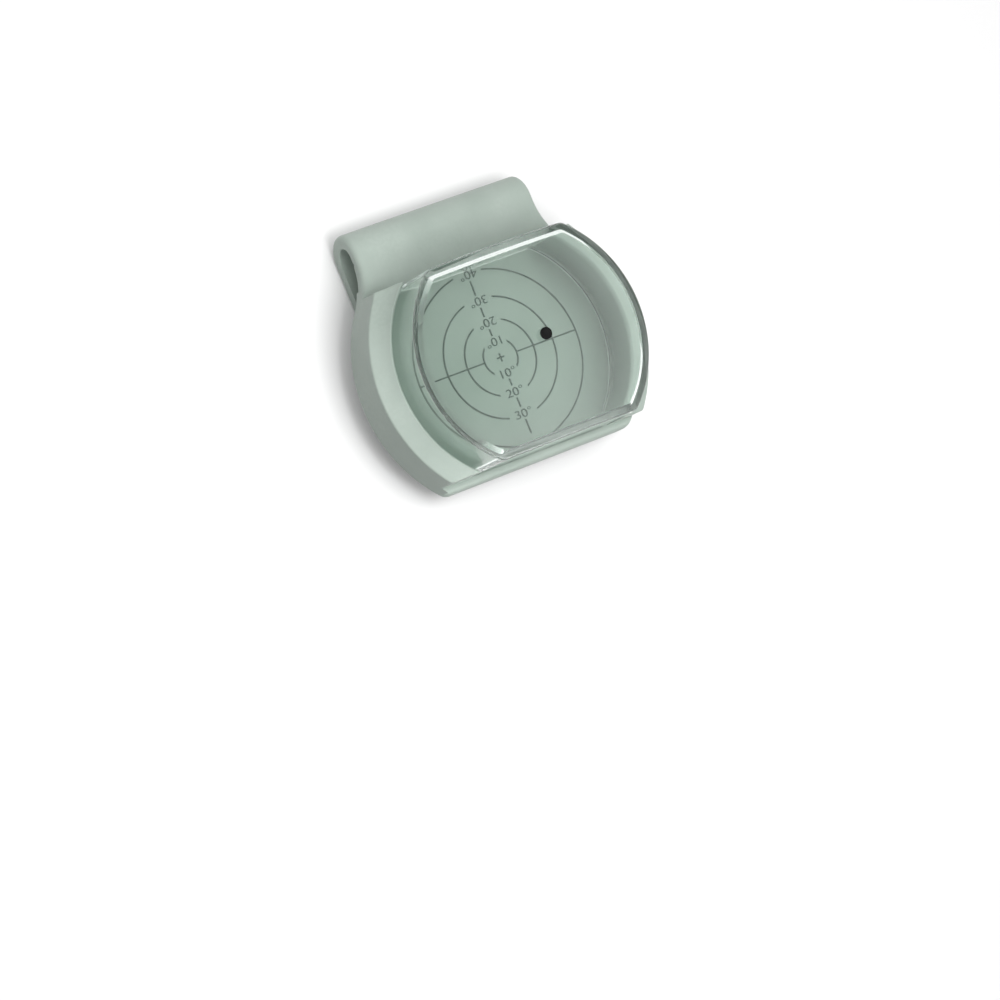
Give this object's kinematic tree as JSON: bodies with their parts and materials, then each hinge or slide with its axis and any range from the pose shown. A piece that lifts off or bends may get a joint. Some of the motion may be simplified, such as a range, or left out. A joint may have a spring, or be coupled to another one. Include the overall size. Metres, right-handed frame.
{
  "type": "inclinometer",
  "caption": "Clip-on sun-angle dial for a flat panel: ringed dial with numerals under a clear dome, a black shadow dot at its top, crescent rims and a folded edge clip.",
  "frame": {"origin": "on the dial's axis, at the plate's back face that lies on the panel", "axes": "+Z out of the dial towards the shadow dot, +X along the clip's roll, +Y from the dial towards the clip's roll"},
  "size_m": [0.057, 0.0522, 0.0299],
  "materials": {
    "body": "satin grey-green moulding",
    "cover": "clear polished",
    "dot": "matte black",
    "ink": "pad-printed dark grey-green"
  },
  "bodies": {
    "root": {"clip_body": "body", "clear_cover": "cover", "shadow_dot": "dot", "dial_ring_10": "ink", "dial_ring_20": "ink", "dial_ring_30": "ink", "dial_ring_40": "ink", "dial_line_level": "ink", "dial_line_upright": "ink", "dial_centre_mark": "ink"}
  },
  "joints": []
}
